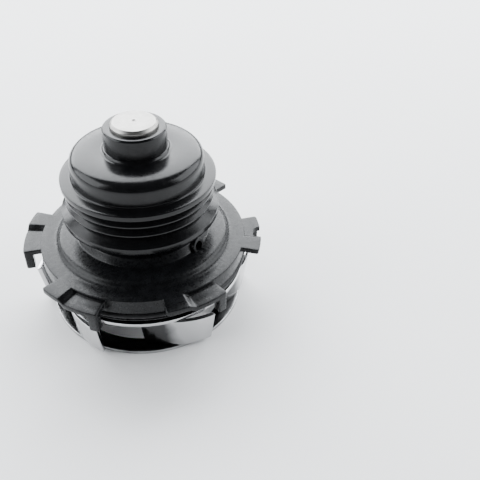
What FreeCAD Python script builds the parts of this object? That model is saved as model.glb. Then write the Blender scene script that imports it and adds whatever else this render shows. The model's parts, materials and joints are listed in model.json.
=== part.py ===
import FreeCAD, Part
import math
import os
import re
import Sketcher

# Cartridge water pump, upright on its impeller. Millimetres, +Z up, origin on the shaft axis at the
# floor. Heights are named *_low and *_high, and every radius is measured from the shaft axis.

SIZES = (
    # The shaft is also the inner race of the bearing.
    ("shaft_radius", 7.95, "shaft, five eighths of an inch across"),
    ("shaft_low", 8.0, "impeller end of the shaft"),
    ("shaft_high", 73.2, "pulley end of the shaft"),
    ("shaft_bevel", 0.85, "bevel at both shaft ends"),
    # Bearing: one row of balls and one row of rollers in a common outer ring.
    ("bearing_radius", 15.0, "outside of the outer ring"),
    ("bearing_bore", 12.35, "roller track inside the outer ring"),
    ("bearing_low", 31.5, "lower end of the outer ring"),
    ("bearing_high", 58.0, "upper end of the outer ring"),
    ("bearing_bevel", 0.5, "bevel on the outer ring"),
    ("pitch_radius", 10.15, "circle through the ball and roller centres"),
    ("ball_radius", 2.6, "ball"),
    ("race_radius", 2.75, "ball groove section"),
    ("ball_height", 51.5, "height of the ball row"),
    ("roller_radius", 2.1, "roller"),
    ("roller_low", 34.6, "lower end of the rollers"),
    ("roller_long", 8.0, "roller length"),
    ("cage_inner", 9.3, "inside of both cages"),
    ("cage_outer", 11.0, "outside of both cages"),
    ("cage_gap", 0.1, "room between a cage and what it holds"),
    ("ball_cage_low", 47.9, "closed side of the ball cage"),
    ("ball_cage_high", 52.6, "open side of the ball cage"),
    ("roller_cage_wall", 0.9, "cage beyond each end of the rollers"),
    ("lip_seat", 13.0, "recess for the bearing seals"),
    ("lip_depth", 1.6, "depth of that recess"),
    ("lip_thick", 1.2, "bearing seal thickness"),
    ("lip_gap", 0.08, "running gap under the seal lip"),
    ("lip_taper", 0.4, "how much thinner the lip is than the seal"),
    ("lip_root", 9.2, "radius where the lip begins"),
    # Pulley.
    ("hub_radius", 10.65, "hub above the pulley face"),
    ("hub_low", 59.3, "underside of the hub flange"),
    ("hub_high", 71.4, "top of the hub"),
    ("pilot_radius", 10.35, "pilot of the hub, inside the pulley face and the weld"),
    ("pilot_high", 64.6, "shoulder where the pilot ends"),
    ("hub_bevel", 0.5, "bevel at the top of the hub"),
    ("hub_flange_radius", 15.0, "hub flange under the pulley face"),
    ("weld_width", 1.5, "weld bead where the hub leaves the face"),
    ("cup_radius", 22.8, "outside of the pulley cup"),
    ("cup_inside", 21.0, "inside of the pulley cup"),
    ("cup_high", 63.1, "pulley face"),
    ("face_thick", 1.8, "thickness of the pulley face"),
    ("shoulder_round", 3.5, "outer rounding of the cup shoulder"),
    ("shoulder_inside", 1.7, "inner rounding of the cup shoulder"),
    ("cup_foot_round", 0.9, "rounding where the cup meets the flange"),
    ("flange_radius", 26.8, "upper belt flange"),
    ("flange_high", 54.0, "top of the upper flange"),
    ("flange_low", 52.0, "underside of the upper flange at its edge"),
    ("flange_bevel", 0.9, "width of the bevel on the upper flange"),
    ("bevel_drop", 0.2, "drop of that bevel"),
    ("valley_radius", 23.8, "bottom of the belt grooves"),
    ("rib_radius", 26.0, "top of the belt ribs"),
    ("rib_one", 48.93, "height of the first rib"),
    ("rib_two", 45.37, "height of the second rib"),
    ("rib_half", 0.32, "half the land on a rib"),
    ("valley_half", 0.34, "half the land in a groove"),
    ("half_pitch", 1.78, "half the rib pitch"),
    ("lower_flange_radius", 27.8, "lower belt flange"),
    ("lower_flange_high", 41.4, "top edge of the lower flange"),
    ("pulley_low", 39.1, "bottom of the pulley"),
    ("edge_round", 0.35, "small rounding on pulley and impeller edges"),
    # Pump body.
    ("skirt_radius", 37.4, "pilot skirt that enters the engine"),
    ("skirt_low", 17.8, "bottom of the skirt"),
    ("skirt_bevel", 0.6, "lead-in bevel of the skirt"),
    ("groove_radius", 35.6, "bottom of the sealing groove"),
    ("groove_low", 19.0, "lower side of the sealing groove"),
    ("groove_high", 21.6, "upper side of the sealing groove"),
    ("rim_high", 27.4, "flat rim of the body"),
    ("rim_inner", 34.5, "inner edge of the flat rim"),
    ("rim_round", 1.1, "rounding of the rim"),
    ("slope_radius", 30.6, "foot of the step up to the plateau"),
    ("slope_high", 27.2, "height at that foot"),
    ("slope_round", 1.8, "hollow at that foot"),
    ("plateau_radius", 29.5, "edge of the plateau"),
    ("plateau_high", 29.5, "height of the plateau edge"),
    ("plateau_round", 0.9, "rounding of the plateau edge"),
    ("boss_foot", 24.8, "foot of the bearing boss"),
    ("boss_foot_high", 30.3, "height at that foot"),
    ("boss_radius", 22.8, "shoulder of the bearing boss"),
    ("boss_high", 33.2, "height of that shoulder"),
    ("boss_round", 0.7, "rounding of the boss"),
    ("neck_radius", 18.5, "neck round the bearing"),
    ("neck_foot", 34.8, "foot of the neck"),
    ("neck_high", 57.5, "top of the neck"),
    ("drain_radius", 13.5, "drain chamber between seal and bearing"),
    ("seal_bore", 18.2, "bore for the seal cup"),
    ("seal_bore_high", 26.8, "top of that bore"),
    ("mouth_radius", 20.2, "mouth of the seal bore"),
    ("mouth_high", 20.2, "depth of that mouth"),
    ("weep_radius", 1.8, "weep hole"),
    ("weep_collar", 2.9, "collar round the weep hole"),
    ("weep_out", 24.9, "radius of the collar face"),
    ("weep_height", 31.5, "height of the weep hole at the collar"),
    ("weep_turn", -42.0, "direction of the weep hole round the axis"),
    ("weep_tilt", 12.0, "fall of the weep hole towards the chamber"),
    ("collar_reach", 5.0, "how far inside the collar face the collar starts"),
    ("weep_spare", 2.0, "how far the drill runs past the chamber wall and the collar"),
    # Bayonet lugs: each starts level with the rim, drops down a ramp and ends in a tang that hangs down.
    ("lug_count", 6, "number of lugs"),
    ("lug_radius", 43.7, "outside of the lugs"),
    ("lug_inner", 35.8, "where a lug joins the rim"),
    ("lug_thick", 2.0, "lug thickness"),
    ("lug_drop", 1.4, "height of the ramp"),
    ("lug_start", 35.2, "direction where the first lug starts"),
    ("lug_level", 11.3, "turn of the level part of a lug"),
    ("lug_ramp", 3.0, "turn of its ramp"),
    ("lug_hold", 16.5, "turn of its low part"),
    ("lug_corner", 0.9, "rounding of the lug corners"),
    ("tang_turn", 4.4, "turn of the tang"),
    ("tang_inner", 40.6, "inside of the tang"),
    ("tang_low", 18.0, "tip of the tang"),
    ("notch_radius", 3.4, "round notch in the low part of one lug"),
    ("notch_out", 43.8, "radius of the middle of that notch"),
    ("notch_turn", -7.5, "direction of the notch round the axis"),
    # O-ring round the skirt.
    ("oring_radius", 36.75, "middle of the O-ring"),
    ("oring_section", 1.1, "half the O-ring thickness"),
    ("oring_height", 20.3, "height of the O-ring"),
    # Face seal between the water and the drain chamber.
    ("seal_sheet", 0.6, "sheet thickness of the seal cup and retainer"),
    ("cup_flange_radius", 20.0, "flange of the seal cup"),
    ("cup_hole", 10.6, "hole in the seal cup"),
    ("boot_radius", 13.6, "rubber boot of the mating ring"),
    ("boot_wall", 0.75, "rubber between the mating ring and the shaft"),
    ("boot_low", 17.0, "underside of the boot"),
    ("boot_floor", 0.9, "rubber under the mating ring"),
    ("boot_lip", 1.9, "height of the boot's outer lip"),
    ("mating_radius", 13.0, "mating ring"),
    ("mating_high", 21.2, "running face of the mating ring"),
    ("face_gap", 0.03, "water film between the running faces"),
    ("carbon_bore", 8.9, "bore of the carbon ring"),
    ("carbon_radius", 12.6, "carbon ring"),
    ("nose_inner", 9.5, "inside of the carbon nose"),
    ("nose_outer", 11.6, "outside of the carbon nose"),
    ("nose_high", 22.0, "shoulder behind the nose"),
    ("carbon_high", 24.0, "back of the carbon ring"),
    ("retainer_low", 22.2, "underside of the retainer"),
    ("retainer_radius", 17.0, "spring seat of the retainer"),
    ("bellows_outer", 12.4, "outside of the bellows ends"),
    ("bellows_inner", 10.7, "inside of the bellows ends"),
    ("bellows_fold", 1.1, "how far the fold turns inwards"),
    ("bellows_end", 0.45, "height of each bellows end"),
    ("coil_radius", 15.4, "seal spring"),
    ("coil_wire", 0.45, "half the spring wire"),
    ("coil_turns", 2.0, "turns of the spring"),
    ("slinger_radius", 12.2, "slinger in the drain chamber"),
    ("slinger_low", 28.3, "underside of the slinger"),
    ("slinger_thick", 0.8, "slinger thickness"),
    # Impeller.
    ("eye_radius", 30.0, "inside of the impeller ring"),
    ("ring_radius", 36.2, "outside of the impeller ring"),
    ("ring_thick", 1.5, "impeller ring thickness"),
    ("plate_radius", 37.0, "impeller plate"),
    ("plate_low", 14.8, "underside of the plate"),
    ("plate_high", 16.3, "top of the plate"),
    ("boss_plate_radius", 16.0, "flange of the impeller hub"),
    ("impeller_hub_radius", 11.0, "impeller hub"),
    ("impeller_hub_low", 9.0, "bottom of the impeller hub"),
    ("vane_count", 6, "number of vanes"),
    ("vane_thick", 1.7, "vane thickness"),
    ("vane_first", 2.0, "direction of the first vane tip"),
    ("vane_root", 31.0, "radius of a vane's inner end"),
    ("vane_tip_low", 37.8, "radius of the tip at the ring"),
    ("vane_tip_high", 40.0, "radius of the tip at the plate"),
    ("vane_wrap_low", 38.0, "turn from tip to inner end at the ring"),
    ("vane_wrap_high", 41.0, "turn from tip to inner end at the plate"),
    ("vane_bulge", 0.7, "how far the middle of a vane stands out"),
)
BALLS = 8
ROLLERS = 12
# A sketch starts as a regular ring of corners here, and its constraints then move them into place.
START_MIDDLE = 20.0
START_RADIUS = 9.0
NEAR = 1e-4

doc = FreeCAD.newDocument("WaterPump")
sheet = doc.addObject("Spreadsheet::Sheet", "Sizes")
for row, (alias, value, meaning) in enumerate(SIZES, 1):
    sheet.set(f"A{row}", meaning)
    sheet.set(f"B{row}", str(value))
    sheet.setAlias(f"B{row}", alias)
doc.recompute()
sub_parts = []


def size(name):
    """Present value of one size in the sheet."""
    return float(getattr(sheet, name))


def bound(text):
    """Expression in which every word is a size of the sheet."""
    return re.sub(r"([a-z]\w*)", r"Sizes.\1", text)


def new_body(label):
    """Empty body for one sub-part, which becomes the node of the same name."""
    body = doc.addObject("PartDesign::Body", label)
    body.Label = label
    body.AllowCompound = True
    sub_parts.append(body)
    return body


def plane_of(body, role):
    """Origin plane or axis of a body."""
    return next(item for item in body.Origin.OriginFeatures if item.Role == role)


def outline_sketch(body, outline, turn=None):
    """Closed outline of (radius, height) corners in a plane through the axis.

    The plane is turned round the axis by the expression in turn, in degrees.
    """
    sketch = body.newObject("Sketcher::SketchObject", body.Label + "_outline")
    sketch.AttachmentSupport = [(plane_of(body, "XZ_Plane"), "")]
    sketch.MapMode = "FlatFace"
    corners = len(outline)
    middle = FreeCAD.Vector(START_MIDDLE, START_MIDDLE, 0)
    arm = FreeCAD.Vector(START_RADIUS, 0, 0)
    up = FreeCAD.Vector(0, 0, 1)
    start = [middle + FreeCAD.Rotation(up, n * 360 / corners).multVec(arm) for n in range(corners)]
    for n in range(corners):
        sketch.addGeometry(Part.LineSegment(start[n], start[(n + 1) % corners]), False)
    for n in range(corners):
        sketch.addConstraint(Sketcher.Constraint("Coincident", n, 2, (n + 1) % corners, 1))
    for n, (radius, height) in enumerate(outline):
        across = sketch.addConstraint(Sketcher.Constraint("DistanceX", -1, 1, n, 1, start[n].x))
        sketch.setExpression(f"Constraints[{across}]", bound(radius))
        upward = sketch.addConstraint(Sketcher.Constraint("DistanceY", -1, 1, n, 1, start[n].y))
        sketch.setExpression(f"Constraints[{upward}]", bound(height))
    if turn:
        upright = FreeCAD.Rotation(FreeCAD.Vector(0, 1, 0), 1)
        sketch.AttachmentOffset = FreeCAD.Placement(FreeCAD.Vector(), upright)
        sketch.setExpression("AttachmentOffset.Rotation.Angle", bound(turn))
    return sketch


def turned(body, outline, turn=None, sweep=None):
    """Outline revolved about the shaft axis, all round or through the sweep in degrees."""
    sketch = outline_sketch(body, outline, turn)
    feature = body.newObject("PartDesign::Revolution", body.Label + "_turned")
    feature.Profile = sketch
    feature.ReferenceAxis = (sketch, ["V_Axis"])
    feature.Angle = 360
    if sweep:
        feature.setExpression("Angle", bound(sweep))
    return feature


def rectangle(inner, outer, low, high):
    """Outline of a plain ring."""
    return [(inner, low), (outer, low), (outer, high), (inner, high)]


def turned_part(label, outline):
    """Sub-part that is one turned outline."""
    body = new_body(label)
    turned(body, outline)
    return body


def soften(body, kind, amount, places):
    """Fillet or Chamfer on the circular edges at the (radius, height) places."""
    doc.recompute()
    base = body.Tip
    edges = []
    for number, edge in enumerate(base.Shape.Edges, 1):
        curve = edge.Curve
        if curve.TypeId != "Part::GeomCircle":
            continue
        for radius, height in places:
            if abs(curve.Radius - radius) < NEAR and abs(curve.Center.z - height) < NEAR:
                edges.append(f"Edge{number}")
    if len(edges) < len(places):
        raise RuntimeError(f"{body.Label}: an edge to soften was not found")
    feature = body.newObject("PartDesign::" + kind, body.Label + "_" + kind.lower())
    feature.Base = (base, edges)
    feature.setExpression("Radius" if kind == "Fillet" else "Size", bound(amount))
    body.Tip = feature
    return feature


def primitive(body, kind, sizes, offset, turn=0.0, tilt=0.0):
    """PartDesign primitive whose sizes and offset are bound to the sheet.

    The primitive is turned round the shaft axis, and tilted from upright in its own radial plane.
    """
    feature = body.newObject("PartDesign::" + kind, body.Label + "_" + kind.lower())
    for name, text in sizes.items():
        feature.setExpression(name, bound(text))
    feature.AttachmentSupport = [(plane_of(body, "XY_Plane"), "")]
    feature.MapMode = "FlatFace"
    if turn or tilt:
        rotation = FreeCAD.Rotation(turn, tilt, 0)
        radius, height = offset
        place = FreeCAD.Rotation(turn, 0, 0).multVec(FreeCAD.Vector(radius, 0, height))
        feature.AttachmentOffset = FreeCAD.Placement(place, rotation)
    else:
        feature.setExpression("AttachmentOffset.Base.x", bound(offset[0]))
        feature.setExpression("AttachmentOffset.Base.z", bound(offset[1]))
    return feature


def around(body, features, count):
    """The features repeated evenly round the shaft axis."""
    pattern = body.newObject("PartDesign::PolarPattern", body.Label + "_pattern")
    pattern.Originals = features
    pattern.Axis = (plane_of(body, "Z_Axis"), [""])
    pattern.Angle = 360
    if isinstance(count, str):
        pattern.setExpression("Occurrences", bound(count))
    else:
        pattern.Occurrences = count
    body.Tip = pattern
    return pattern


def make_shaft():
    """Ground shaft with a bevel at each end and the inner ball groove."""
    body = turned_part("pump_shaft", rectangle("0", "shaft_radius", "shaft_low", "shaft_high"))
    radius = size("shaft_radius")
    soften(body, "Chamfer", "shaft_bevel", [(radius, size("shaft_low")), (radius, size("shaft_high"))])
    groove = {"Radius1": "pitch_radius", "Radius2": "race_radius"}
    primitive(body, "SubtractiveTorus", groove, ("0", "ball_height"))


def make_bearing_ring():
    """Outer ring with a recess for a seal at each end and the outer ball groove."""
    body = turned_part("bearing_outer_ring", [
        ("bearing_bore", "bearing_low + lip_depth"),
        ("lip_seat", "bearing_low + lip_depth"),
        ("lip_seat", "bearing_low"),
        ("bearing_radius", "bearing_low"),
        ("bearing_radius", "bearing_high"),
        ("lip_seat", "bearing_high"),
        ("lip_seat", "bearing_high - lip_depth"),
        ("bearing_bore", "bearing_high - lip_depth"),
    ])
    radius = size("bearing_radius")
    ends = [(radius, size("bearing_low")), (radius, size("bearing_high"))]
    soften(body, "Chamfer", "bearing_bevel", ends)
    groove = {"Radius1": "pitch_radius", "Radius2": "race_radius"}
    primitive(body, "SubtractiveTorus", groove, ("0", "ball_height"))


def make_bearing_seals():
    """Rubber lip seal pressed into each end of the outer ring."""
    for label, back, way in (
        ("bearing_seal_upper", "bearing_high - lip_depth", "+"),
        ("bearing_seal_lower", "bearing_low + lip_depth", "-"),
    ):
        turned_part(label, [
            ("lip_root", back),
            ("lip_seat", back),
            ("lip_seat", f"{back} {way} lip_thick"),
            ("shaft_radius + lip_gap", f"{back} {way} lip_thick"),
            ("shaft_radius + lip_gap", f"{back} {way} lip_taper"),
        ])


def make_balls():
    """Ball row: each ball is a sub-part, turned to its place by the body's placement."""
    for number in range(BALLS):
        body = new_body(f"bearing_ball_{number + 1}")
        primitive(body, "AdditiveSphere", {"Radius": "ball_radius"}, ("pitch_radius", "ball_height"))
        body.Placement = FreeCAD.Placement(FreeCAD.Vector(), FreeCAD.Rotation(number * 360 / BALLS, 0, 0))


def make_rollers():
    """Roller row, each roller standing upright between the shaft and the outer ring."""
    for number in range(ROLLERS):
        body = new_body(f"bearing_roller_{number + 1}")
        sizes = {"Radius": "roller_radius", "Height": "roller_long"}
        primitive(body, "AdditiveCylinder", sizes, ("pitch_radius", "roller_low"))
        body.Placement = FreeCAD.Placement(FreeCAD.Vector(), FreeCAD.Rotation(number * 360 / ROLLERS, 0, 0))


def make_cages():
    """Crown cage of the balls and slotted cage of the rollers."""
    crown = turned_part("ball_cage", rectangle("cage_inner", "cage_outer", "ball_cage_low", "ball_cage_high"))
    pocket_size = {"Radius": "ball_radius + cage_gap"}
    pocket = primitive(crown, "SubtractiveSphere", pocket_size, ("pitch_radius", "ball_height"))
    around(crown, [pocket], BALLS)
    low = "roller_low - cage_gap - roller_cage_wall"
    high = "roller_low + roller_long + cage_gap + roller_cage_wall"
    slotted = turned_part("roller_cage", rectangle("cage_inner", "cage_outer", low, high))
    slot_size = {"Radius": "roller_radius + cage_gap", "Height": "roller_long + 2 * cage_gap"}
    slot = primitive(slotted, "SubtractiveCylinder", slot_size, ("pitch_radius", "roller_low - cage_gap"))
    around(slotted, [slot], ROLLERS)


def make_pulley():
    """Pressed hub, drawn pulley shell with its belt track, and the weld that joins them."""
    hub = turned_part("pulley_hub", [
        ("shaft_radius", "hub_low"),
        ("hub_flange_radius", "hub_low"),
        ("hub_flange_radius", "cup_high - face_thick"),
        ("pilot_radius", "cup_high - face_thick"),
        ("pilot_radius", "pilot_high"),
        ("hub_radius", "pilot_high"),
        ("hub_radius", "hub_high"),
        ("shaft_radius", "hub_high"),
    ])
    soften(hub, "Chamfer", "hub_bevel", [(size("hub_radius"), size("hub_high"))])

    turned_part("hub_weld", [
        ("pilot_radius", "cup_high"),
        ("hub_radius + weld_width", "cup_high"),
        ("hub_radius + weld_width * 0.75", "cup_high + weld_width * 0.4"),
        ("hub_radius + weld_width * 0.3", "cup_high + weld_width * 0.75"),
        ("pilot_radius", "cup_high + weld_width * 0.85"),
    ])

    outline = [
        ("pilot_radius", "cup_high - face_thick"),
        ("cup_inside", "cup_high - face_thick"),
        ("cup_inside", "pulley_low"),
        ("lower_flange_radius", "pulley_low"),
        ("lower_flange_radius", "lower_flange_high"),
        ("valley_radius", "rib_two - half_pitch - valley_half"),
    ]
    for rib in ("rib_two", "rib_one"):
        outline += [
            ("valley_radius", f"{rib} - half_pitch + valley_half"),
            ("rib_radius", f"{rib} - rib_half"),
            ("rib_radius", f"{rib} + rib_half"),
            ("valley_radius", f"{rib} + half_pitch - valley_half"),
        ]
    outline += [
        ("valley_radius", "rib_one + half_pitch + valley_half"),
        ("flange_radius", "flange_low"),
        ("flange_radius", "flange_high - bevel_drop"),
        ("flange_radius - flange_bevel", "flange_high"),
        ("cup_radius", "flange_high"),
        ("cup_radius", "cup_high"),
        ("pilot_radius", "cup_high"),
    ]
    shell = turned_part("pulley_shell", outline)
    top = size("cup_high")
    soften(shell, "Fillet", "shoulder_round", [(size("cup_radius"), top)])
    soften(shell, "Fillet", "shoulder_inside", [(size("cup_inside"), top - size("face_thick"))])
    soften(shell, "Fillet", "cup_foot_round", [(size("cup_radius"), size("flange_high"))])
    soften(shell, "Fillet", "edge_round", [
        (size("lower_flange_radius"), size("pulley_low")),
        (size("lower_flange_radius"), size("lower_flange_high")),
        (size("flange_radius"), size("flange_low")),
        (size("flange_radius"), size("flange_high") - size("bevel_drop")),
    ])


def add_lugs(body):
    """Bayonet lugs: level part, ramp down, low part and the tang that stops the turn."""
    level_section = rectangle("lug_inner", "lug_radius", "rim_high - lug_thick", "rim_high")
    low_top = "rim_high - lug_drop"
    low_section = rectangle("lug_inner", "lug_radius", low_top + " - lug_thick", low_top)
    ramp_start = "lug_start + lug_level"
    ramp_end = "lug_start + lug_level + lug_ramp"
    level = turned(body, level_section, turn="lug_start", sweep="lug_level")
    low = turned(body, low_section, turn=ramp_end, sweep="lug_hold")
    ramp_head = outline_sketch(body, level_section, turn=ramp_start)
    ramp_foot = outline_sketch(body, low_section, turn=ramp_end)
    ramp = body.newObject("PartDesign::AdditiveLoft", "lug_ramp")
    ramp.Profile = ramp_head
    ramp.Sections = [ramp_foot]
    ramp.Ruled = True
    tang = turned(body, rectangle(
        "tang_inner", "lug_radius", "tang_low", low_top + " - lug_thick / 2",
    ), turn=ramp_end + " + lug_hold - tang_turn", sweep="tang_turn")
    around(body, [level, low, ramp, tang], "lug_count")


def round_lug_corners(body):
    """Fillet on the upright edges at the outer corners of the lugs."""
    doc.recompute()
    base = body.Tip
    edges = []
    for number, edge in enumerate(base.Shape.Edges, 1):
        if edge.Curve.TypeId != "Part::GeomLine":
            continue
        first, last = (vertex.Point for vertex in (edge.Vertexes[0], edge.Vertexes[-1]))
        upright = math.hypot(first.x - last.x, first.y - last.y) < NEAR
        outside = abs(math.hypot(first.x, first.y) - size("lug_radius")) < 0.01
        direction = math.degrees(math.atan2(first.y, first.x)) - size("lug_start")
        whole_lug = size("lug_level") + size("lug_ramp") + size("lug_hold")
        along = direction % (360 / size("lug_count"))
        at_end = min(along, abs(along - whole_lug), 360 / size("lug_count") - along) < 0.1
        if upright and outside and at_end:
            edges.append(f"Edge{number}")
    feature = body.newObject("PartDesign::Fillet", "lug_corners")
    feature.Base = (base, edges)
    feature.setExpression("Radius", bound("lug_corner"))
    body.Tip = feature


def cut_notch(body):
    """Round notch in the low part of one lug."""
    sizes = {"Radius": "notch_radius", "Height": "rim_high - tang_low + lug_thick"}
    primitive(body, "SubtractiveCylinder", sizes, (size("notch_out"), size("tang_low")), size("notch_turn"))


def drill_weep_hole(body):
    """Collar and hole that drain the chamber between the seal and the bearing."""
    turn = size("weep_turn")
    lean = 90 - size("weep_tilt")
    tilt = math.radians(size("weep_tilt"))

    def inside(reach):
        """Point on the hole's axis this far in from the collar face, towards the shaft."""
        return size("weep_out") - reach, size("weep_height") - reach * math.tan(tilt)

    collar = primitive(
        body, "AdditiveCylinder", {"Radius": "weep_collar"}, inside(size("collar_reach")), turn, lean)
    collar.Height = size("collar_reach") / math.cos(tilt)
    reach = size("weep_out") - size("drain_radius") + size("weep_spare")
    hole = primitive(body, "SubtractiveCylinder", {"Radius": "weep_radius"}, inside(reach), turn, lean)
    hole.Height = (reach + size("weep_spare")) / math.cos(tilt)


def make_pump_body():
    """Cast body: pilot skirt, rim with lugs, plateau, bearing boss and neck."""
    body = turned_part("pump_body", [
        ("mouth_radius", "skirt_low"),
        ("skirt_radius - skirt_bevel", "skirt_low"),
        ("skirt_radius", "skirt_low + skirt_bevel"),
        ("skirt_radius", "groove_low"),
        ("groove_radius", "groove_low"),
        ("groove_radius", "groove_high"),
        ("skirt_radius", "groove_high"),
        ("skirt_radius", "rim_high"),
        ("rim_inner", "rim_high"),
        ("slope_radius", "slope_high"),
        ("plateau_radius", "plateau_high"),
        ("boss_foot", "boss_foot_high"),
        ("boss_radius", "boss_high"),
        ("neck_radius", "neck_foot"),
        ("neck_radius", "neck_high"),
        ("bearing_radius", "neck_high"),
        ("bearing_radius", "bearing_low"),
        ("drain_radius", "bearing_low"),
        ("drain_radius", "seal_bore_high"),
        ("seal_bore", "seal_bore_high"),
        ("seal_bore", "mouth_high"),
        ("mouth_radius", "mouth_high"),
    ])
    soften(body, "Fillet", "slope_round", [(size("slope_radius"), size("slope_high"))])
    soften(body, "Fillet", "rim_round", [(size("skirt_radius"), size("rim_high"))])
    soften(body, "Fillet", "plateau_round", [(size("plateau_radius"), size("plateau_high"))])
    soften(body, "Fillet", "boss_round", [
        (size("boss_foot"), size("boss_foot_high")),
        (size("boss_radius"), size("boss_high")),
        (size("neck_radius"), size("neck_foot")),
        (size("neck_radius"), size("neck_high")),
    ])
    add_lugs(body)
    round_lug_corners(body)
    cut_notch(body)
    drill_weep_hole(body)


def make_oring():
    """O-ring that seals the skirt in the engine."""
    ring = doc.addObject("Part::Torus", "housing_oring")
    ring.Label = "housing_oring"
    ring.setExpression("Radius1", bound("oring_radius"))
    ring.setExpression("Radius2", bound("oring_section"))
    ring.setExpression("Placement.Base.z", bound("oring_height"))
    sub_parts.append(ring)


def make_face_seal():
    """Fixed cup, sprung carbon ring and bellows over the mating ring that turns with the shaft."""
    turned_part("seal_cup", [
        ("seal_bore - seal_sheet", "mouth_high - seal_sheet"),
        ("cup_flange_radius", "mouth_high - seal_sheet"),
        ("cup_flange_radius", "mouth_high"),
        ("seal_bore", "mouth_high"),
        ("seal_bore", "seal_bore_high"),
        ("cup_hole", "seal_bore_high"),
        ("cup_hole", "seal_bore_high - seal_sheet"),
        ("seal_bore - seal_sheet", "seal_bore_high - seal_sheet"),
    ])
    turned_part("mating_ring_boot", [
        ("shaft_radius", "boot_low"),
        ("boot_radius", "boot_low"),
        ("boot_radius", "boot_low + boot_lip"),
        ("mating_radius", "boot_low + boot_lip"),
        ("mating_radius", "boot_low + boot_floor"),
        ("shaft_radius + boot_wall", "boot_low + boot_floor"),
        ("shaft_radius + boot_wall", "mating_high - boot_wall"),
        ("shaft_radius", "mating_high - boot_wall"),
    ])
    turned_part("mating_ring", rectangle(
        "shaft_radius + boot_wall", "mating_radius", "boot_low + boot_floor", "mating_high",
    ))
    turned_part("carbon_ring", [
        ("nose_inner", "mating_high + face_gap"),
        ("nose_outer", "mating_high + face_gap"),
        ("nose_outer", "nose_high"),
        ("carbon_radius", "nose_high"),
        ("carbon_radius", "carbon_high"),
        ("carbon_bore", "carbon_high"),
        ("carbon_bore", "nose_high"),
        ("nose_inner", "nose_high"),
    ])
    turned_part("seal_retainer", [
        ("carbon_radius", "retainer_low"),
        ("retainer_radius", "retainer_low"),
        ("retainer_radius", "retainer_low + seal_sheet"),
        ("carbon_radius + seal_sheet", "retainer_low + seal_sheet"),
        ("carbon_radius + seal_sheet", "carbon_high"),
        ("carbon_radius", "carbon_high"),
    ])
    top = "seal_bore_high - seal_sheet"
    middle = "(carbon_high + seal_bore_high - seal_sheet) / 2"
    turned_part("seal_bellows", [
        ("bellows_inner", "carbon_high"),
        ("bellows_outer", "carbon_high"),
        ("bellows_outer", "carbon_high + bellows_end"),
        ("bellows_outer - bellows_fold", middle),
        ("bellows_outer", top + " - bellows_end"),
        ("bellows_outer", top),
        ("bellows_inner", top),
        ("bellows_inner", top + " - bellows_end"),
        ("bellows_inner - bellows_fold / 2", middle),
        ("bellows_inner", "carbon_high + bellows_end"),
    ])
    make_seal_spring()
    turned_part("slinger", rectangle(
        "shaft_radius", "slinger_radius", "slinger_low", "slinger_low + slinger_thick",
    ))


def make_seal_spring():
    """Coil spring between the retainer and the seal cup."""
    body = new_body("seal_spring")
    sketch = body.newObject("Sketcher::SketchObject", "seal_spring_wire")
    sketch.AttachmentSupport = [(plane_of(body, "XZ_Plane"), "")]
    sketch.MapMode = "FlatFace"
    low = size("retainer_low") + size("seal_sheet") + size("coil_wire")
    centre = FreeCAD.Vector(size("coil_radius"), low, 0)
    sketch.addGeometry(Part.Circle(centre, FreeCAD.Vector(0, 0, 1), size("coil_wire")), False)
    across = sketch.addConstraint(Sketcher.Constraint("DistanceX", -1, 1, 0, 3, centre.x))
    sketch.setExpression(f"Constraints[{across}]", bound("coil_radius"))
    up = sketch.addConstraint(Sketcher.Constraint("DistanceY", -1, 1, 0, 3, centre.y))
    sketch.setExpression(f"Constraints[{up}]", bound("retainer_low + seal_sheet + coil_wire"))
    wire = sketch.addConstraint(Sketcher.Constraint("Radius", 0, size("coil_wire")))
    sketch.setExpression(f"Constraints[{wire}]", bound("coil_wire"))
    coil = body.newObject("PartDesign::AdditiveHelix", "seal_spring_coil")
    coil.Profile = sketch
    coil.ReferenceAxis = (sketch, ["V_Axis"])
    coil.Mode = "height-turns-angle"
    rise = "seal_bore_high - seal_sheet - coil_wire - retainer_low - seal_sheet - coil_wire"
    coil.setExpression("Height", bound(rise))
    coil.setExpression("Turns", bound("coil_turns"))


def vane_section(height, tip_radius, wrap):
    """Closed outline of a vane at one height, with its tip in the XZ plane."""
    half = size("vane_thick") / 2
    root_radius = size("vane_root")
    middle_radius = (root_radius + tip_radius) / 2 + size("vane_bulge")
    stations = ((root_radius, -wrap), (middle_radius, -wrap / 2), (tip_radius, 0.0))

    def side(offset):
        points = []
        for radius, turn in stations:
            angle = math.radians(turn)
            reach = radius + offset
            points.append(FreeCAD.Vector(reach * math.cos(angle), reach * math.sin(angle), height))
        return points

    inner, outer = side(-half), side(half)
    edges = [
        Part.Arc(*inner).toShape(),
        Part.LineSegment(inner[2], outer[2]).toShape(),
        Part.Arc(*reversed(outer)).toShape(),
        Part.LineSegment(outer[0], inner[0]).toShape(),
    ]
    return Part.Wire(edges)


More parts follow.
